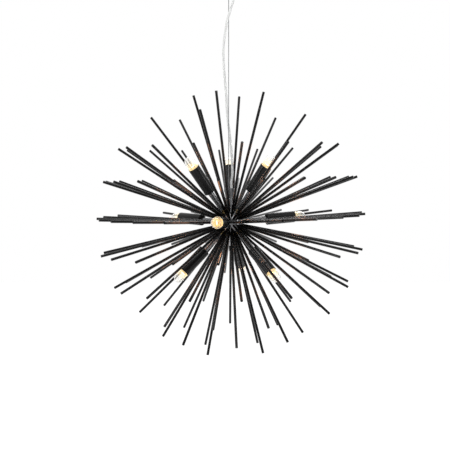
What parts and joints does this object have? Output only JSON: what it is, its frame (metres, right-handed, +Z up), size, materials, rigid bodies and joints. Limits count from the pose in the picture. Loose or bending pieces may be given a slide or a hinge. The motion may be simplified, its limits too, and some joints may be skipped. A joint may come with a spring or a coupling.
{
  "type": "starburst pendant lamp",
  "caption": "Starburst pendant: a ball hub carries rings of thin black rods and black sleeve lamps with clear bulbs, on a wire and a clear cable.",
  "frame": {"origin": "the middle of the ceiling bracket's two screw holes, on the ceiling plane, on the suspension wire's own line", "axes": "+Z up out of the ceiling, the bracket's two screws lie along X, -Y is the front that faces the viewer"},
  "size_m": [0.6175, 0.6176, 0.8988],
  "materials": {
    "satin_black": "satin black powder coat",
    "rod_black": "satin black coat on aluminium rod",
    "dark_metal": "black nickel, polished",
    "steel": "bright zinc-plated steel",
    "wire_rope": "bright stranded steel wire",
    "clear_cable": "clear flexible sheath over two twisted cores",
    "black_plastic": "matt black moulded plastic",
    "white_plastic": "matt off-white moulded plastic",
    "holder_plastic": "matt cream moulded lampholder",
    "wire_insulation": "smooth thin lead insulation",
    "brass": "bare turned brass",
    "cap_brass": "nickel-washed brass lamp cap",
    "bulb_glass": "clear blown glass, lit warm"
  },
  "bodies": {
    "ceiling": {"ceiling_bracket": "steel", "bracket_nut": "steel", "terminal_block": "white_plastic", "terminal_screws": "brass", "supply_leads": "wire_insulation", "gripper_body": "steel", "gripper_spring": "steel"},
    "canopy": {"canopy_cup": "satin_black", "canopy_ring": "steel", "canopy_gland": "black_plastic", "gland_locknut": "black_plastic"},
    "collar": {"gripper_collar": "steel"},
    "wire_grip": {"gripper_balls": "steel"},
    "wire": {"suspension_wire": "wire_rope", "wire_stop": "steel", "power_cable": "clear_cable"},
    "bulb_1": {"bulb_cap_1": "cap_brass", "bulb_glass_1": "bulb_glass"},
    "bulb_2": {"bulb_cap_2": "cap_brass", "bulb_glass_2": "bulb_glass"},
    "bulb_3": {"bulb_cap_3": "cap_brass", "bulb_glass_3": "bulb_glass"},
    "bulb_4": {"bulb_cap_4": "cap_brass", "bulb_glass_4": "bulb_glass"},
    "bulb_5": {"bulb_cap_5": "cap_brass", "bulb_glass_5": "bulb_glass"},
    "bulb_6": {"bulb_cap_6": "cap_brass", "bulb_glass_6": "bulb_glass"},
    "bulb_7": {"bulb_cap_7": "cap_brass", "bulb_glass_7": "bulb_glass"},
    "bulb_8": {"bulb_cap_8": "cap_brass", "bulb_glass_8": "bulb_glass"},
    "bulb_9": {"bulb_cap_9": "cap_brass", "bulb_glass_9": "bulb_glass"},
    "pendant": {"top_fitting": "satin_black", "fitting_lid": "satin_black", "centre_tube": "steel", "tube_cap": "satin_black", "hub_upper": "dark_metal", "hub_lower": "dark_metal", "hub_connector": "white_plastic", "hub_leads": "wire_insulation", "rods_crown": "rod_black", "rods_lamps_high": "rod_black", "rods_high": "rod_black", "rods_half_up": "rod_black", "rods_level": "rod_black", "rods_half_down": "rod_black", "rods_low": "rod_black", "rods_lamps_low": "rod_black", "rods_under": "rod_black", "rods_foot": "rod_black", "lamp_nipples": "brass", "lamp_stems": "satin_black", "stem_nuts": "steel", "lamp_shades": "satin_black", "lamp_holders": "holder_plastic", "holder_shells": "brass", "holder_contacts": "brass", "lamp_leads": "wire_insulation"}
  },
  "joints": [
    {"name": "canopy_drop", "type": "slide", "parent": "ceiling", "child": "canopy", "axis": [0, 0, -1], "range_m": [0, 0.045], "deforming": ["power_cable"]},
    {"name": "collar_release", "type": "slide", "parent": "ceiling", "child": "collar", "axis": [0, 0, 1], "range_m": [0, 0.0015], "stiffness_N_per_m": 300, "springref_m": -0.004},
    {"name": "wire_swing_side", "type": "hinge", "parent": "ceiling", "child": "wire_grip", "pos_m": [0, 0, -0.048], "axis": [0, 1, 0], "range_deg": [-6, 6]},
    {"name": "wire_swing_front", "type": "hinge", "parent": "wire_grip", "child": "wire", "pos_m": [0, 0, -0.048], "axis": [1, 0, 0], "range_deg": [-6, 6]},
    {"name": "pendant_turn", "type": "hinge", "parent": "wire", "child": "pendant", "pos_m": [0, 0, -0.52], "axis": [0, 0, 1], "range_deg": [-45, 45]},
    {"name": "bulb_1_out", "type": "slide", "parent": "pendant", "child": "bulb_1", "axis": [-0.5266, -0.3064, 0.793], "range_m": [0, 0.06]},
    {"name": "bulb_2_out", "type": "slide", "parent": "pendant", "child": "bulb_2", "axis": [0.5033, -0.2884, 0.8146], "range_m": [0, 0.06]},
    {"name": "bulb_3_out", "type": "slide", "parent": "pendant", "child": "bulb_3", "axis": [-0.0272, 0.5947, 0.8035], "range_m": [0, 0.06]},
    {"name": "bulb_4_out", "type": "slide", "parent": "pendant", "child": "bulb_4", "axis": [-0.1813, -0.9822, 0.0485], "range_m": [0, 0.06]},
    {"name": "bulb_5_out", "type": "slide", "parent": "pendant", "child": "bulb_5", "axis": [0.9395, 0.335, 0.072], "range_m": [0, 0.06]},
    {"name": "bulb_6_out", "type": "slide", "parent": "pendant", "child": "bulb_6", "axis": [-0.7614, 0.6472, 0.0364], "range_m": [0, 0.06]},
    {"name": "bulb_7_out", "type": "slide", "parent": "pendant", "child": "bulb_7", "axis": [-0.6731, -0.2421, -0.6988], "range_m": [0, 0.06]},
    {"name": "bulb_8_out", "type": "slide", "parent": "pendant", "child": "bulb_8", "axis": [0.5677, -0.4744, -0.6728], "range_m": [0, 0.06]},
    {"name": "bulb_9_out", "type": "slide", "parent": "pendant", "child": "bulb_9", "axis": [0.1484, 0.7165, -0.6816], "range_m": [0, 0.06]}
  ]
}
